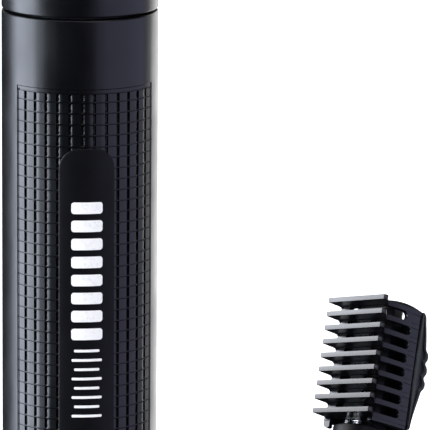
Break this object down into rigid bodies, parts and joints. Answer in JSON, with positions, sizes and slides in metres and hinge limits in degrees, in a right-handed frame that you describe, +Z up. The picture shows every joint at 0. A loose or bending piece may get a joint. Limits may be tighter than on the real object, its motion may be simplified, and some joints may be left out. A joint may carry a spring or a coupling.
{
  "type": "beard trimmer",
  "caption": "Round cordless trimmer handle with gridded grip and long label panel, twist collar and T-shaped head, beside a slim detail head with guide comb.",
  "frame": {"origin": "centre of the handle's flat bottom, on the surface it stands on", "axes": "+Z up the handle to the blades; the label panel faces -Y; the detail head stands beside it towards +X"},
  "size_m": [0.0924, 0.0414, 0.1543],
  "materials": {
    "satin_black": "fine-grained satin black moulding",
    "label_black": "smooth dark label panel",
    "label_print": "white printed mark",
    "comb_black": "satin black nylon",
    "inner_plastic": "dark grey moulded",
    "blade_steel": "ground steel",
    "bright_steel": "plated steel",
    "screw_steel": "dark plated steel",
    "nickel_strip": "nickel strip",
    "magnet_grey": "nickel-plated magnet",
    "cell_wrap": "shrink sleeve",
    "board_green": "solder mask",
    "seal_rubber": "moulded rubber",
    "clear_light": "clear moulded light pipe"
  },
  "bodies": {
    "handle": {"bottom_cap": "satin_black", "charging_socket": "bright_steel", "cap_screw_left": "screw_steel", "cap_screw_right": "screw_steel", "grip_tube": "satin_black", "label_plate": "label_black", "light_pipe": "clear_light", "chassis": "inner_plastic", "battery_cell": "cell_wrap", "battery_tab_lower": "nickel_strip", "battery_tab_upper": "nickel_strip", "circuit_board": "board_green", "motor_can": "bright_steel", "motor_end_bell": "comb_black", "motor_mount": "inner_plastic", "motor_screw_left": "screw_steel", "motor_screw_right": "screw_steel", "coupling_spigot": "inner_plastic", "spigot_seal": "seal_rubber", "collar_sensor": "comb_black"},
    "collar": {"power_collar": "satin_black", "collar_magnet": "magnet_grey"},
    "rotor": {"motor_shaft": "bright_steel", "eccentric_cam": "inner_plastic"},
    "beard_head": {"head_housing": "satin_black", "fixed_blade": "blade_steel", "tension_spring": "bright_steel", "drive_bracket": "inner_plastic", "lever_pin": "bright_steel", "blade_screw_left": "screw_steel", "blade_screw_right": "screw_steel"},
    "lever": {"drive_lever": "inner_plastic"},
    "cutter": {"moving_blade": "blade_steel", "blade_carrier": "inner_plastic"},
    "detail_head": {"detail_skirt": "satin_black", "detail_housing": "satin_black", "detail_fixed_blade": "blade_steel"},
    "detail_cutter": {"detail_moving_blade": "blade_steel", "detail_drive_rod": "bright_steel"},
    "comb": {"guide_comb": "comb_black"}
  },
  "joints": [
    {"name": "collar_twist", "type": "hinge", "parent": "handle", "child": "collar", "pos_m": [0, 0, 0.124], "axis": [0, 0, 1], "range_deg": [0, 30]},
    {"name": "motor_spin", "type": "hinge", "parent": "handle", "child": "rotor", "pos_m": [0, 0, 0.116], "axis": [0, 0, 1], "continuous": true},
    {"name": "head_release", "type": "slide", "parent": "handle", "child": "beard_head", "axis": [0, 0, 1], "range_m": [0, 0.022]},
    {"name": "lever_rock", "type": "hinge", "parent": "beard_head", "child": "lever", "pos_m": [0, 0.0024, 0.1388], "axis": [0, 1, 0], "range_deg": [-6, 6]},
    {"name": "blade_stroke", "type": "slide", "parent": "beard_head", "child": "cutter", "axis": [1, 0, 0], "range_m": [-0.0009, 0.0009]},
    {"name": "detail_head_lift", "type": "slide", "parent": "handle", "child": "detail_head", "axis": [0, 0, 1], "range_m": [0, 0.05]},
    {"name": "detail_stroke", "type": "slide", "parent": "detail_head", "child": "detail_cutter", "axis": [0.2038, 0.4331, 0.878], "range_m": [-0.0007, 0.0007]},
    {"name": "comb_slide", "type": "slide", "parent": "detail_head", "child": "comb", "axis": [0.2038, 0.4331, 0.878], "range_m": [0, 0.03]}
  ],
  "couplings": [
    {"joint": "blade_stroke", "follows": "lever_rock", "m_per_rad": 0.0081}
  ]
}
